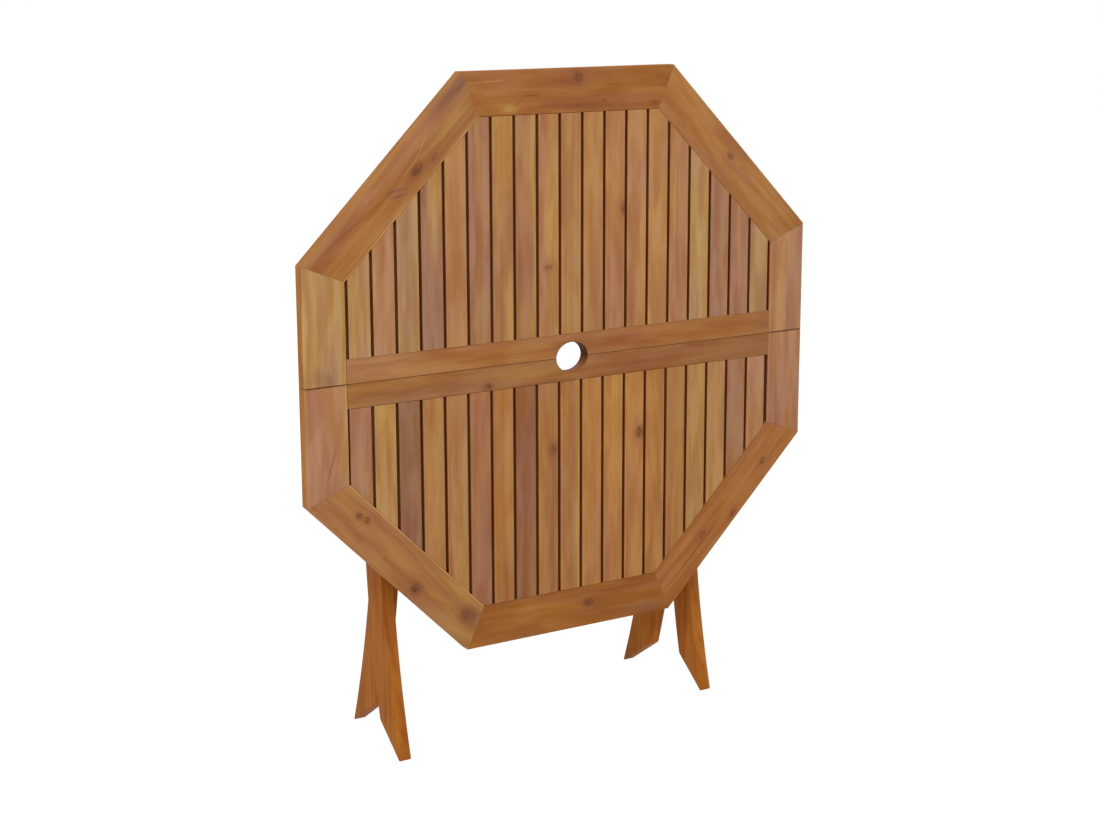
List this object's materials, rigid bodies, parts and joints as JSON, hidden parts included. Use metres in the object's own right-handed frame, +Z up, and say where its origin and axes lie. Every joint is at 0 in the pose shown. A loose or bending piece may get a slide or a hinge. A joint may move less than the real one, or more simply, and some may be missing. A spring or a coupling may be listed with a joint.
{
  "type": "folding umbrella table",
  "caption": "Octagonal slatted hardwood garden table with an umbrella hole in its middle seam, on crossed bowed legs, stood up with its top folded down.",
  "frame": {"origin": "on the floor, under the middle of the outline in X and Y", "axes": "+X to the right and +Y to the back as one faces the hanging top, +Z up"},
  "size_m": [0.9, 0.2268, 1.0435],
  "materials": {
    "frame_wood": "oiled satin",
    "leg_wood": "oiled satin",
    "hidden_wood": "oiled satin",
    "slat_gold": "oiled satin",
    "slat_pink": "oiled satin",
    "slat_tan": "oiled satin",
    "slat_mauve": "oiled satin",
    "slat_red": "oiled satin",
    "slat_brown": "oiled satin",
    "steel": "satin",
    "nylon": "matte"
  },
  "bodies": {
    "outer_frame": {"outer_left_leg": "leg_wood", "outer_right_leg": "leg_wood", "outer_stretcher": "hidden_wood", "left_pivot_bolt": "steel", "left_pivot_washer": "nylon", "left_pivot_nut": "steel", "left_hinge_bolt": "steel", "left_hinge_sleeve": "steel", "left_hinge_nut": "steel", "right_pivot_bolt": "steel", "right_pivot_washer": "nylon", "right_pivot_nut": "steel", "right_hinge_bolt": "steel", "right_hinge_sleeve": "steel", "right_hinge_nut": "steel"},
    "top": {"upper_end_rail": "frame_wood", "upper_left_diagonal": "frame_wood", "upper_right_diagonal": "frame_wood", "upper_left_stile": "frame_wood", "upper_right_stile": "frame_wood", "upper_mid_rail": "frame_wood", "upper_left_corner_slats": "slat_tan", "upper_slat_5": "slat_tan", "upper_slat_6": "slat_red", "upper_slat_7": "slat_gold", "upper_slat_8": "slat_brown", "upper_slat_9": "slat_brown", "upper_slat_10": "slat_gold", "upper_slat_11": "slat_tan", "upper_slat_12": "slat_pink", "upper_slat_13": "slat_pink", "upper_slat_14": "slat_gold", "upper_slat_15": "slat_tan", "upper_right_corner_slats": "slat_tan", "lower_end_rail": "frame_wood", "lower_left_diagonal": "frame_wood", "lower_right_diagonal": "frame_wood", "lower_left_stile": "frame_wood", "lower_right_stile": "frame_wood", "lower_mid_rail": "frame_wood", "lower_left_corner_slats": "slat_pink", "lower_slat_5": "slat_gold", "lower_slat_6": "slat_mauve", "lower_slat_7": "slat_gold", "lower_slat_8": "slat_red", "lower_slat_9": "slat_tan", "lower_slat_10": "slat_pink", "lower_slat_11": "slat_gold", "lower_slat_12": "slat_tan", "lower_slat_13": "slat_pink", "lower_slat_14": "slat_tan", "lower_slat_15": "slat_red", "lower_right_corner_slats": "slat_tan", "left_batten": "hidden_wood", "right_batten": "hidden_wood"},
    "inner_frame": {"inner_left_leg": "leg_wood", "inner_right_leg": "leg_wood", "inner_stretcher": "hidden_wood", "crossbar": "leg_wood"}
  },
  "joints": [
    {"name": "top_tilt", "type": "hinge", "parent": "outer_frame", "child": "top", "pos_m": [0, -0.06638, 0.861], "axis": [-1, 0, 0], "range_deg": [0, 90]},
    {"name": "leg_scissor", "type": "hinge", "parent": "outer_frame", "child": "inner_frame", "pos_m": [0, -0.00608, 0.454], "axis": [1, 0, 0], "range_deg": [0, 8.5]}
  ]
}
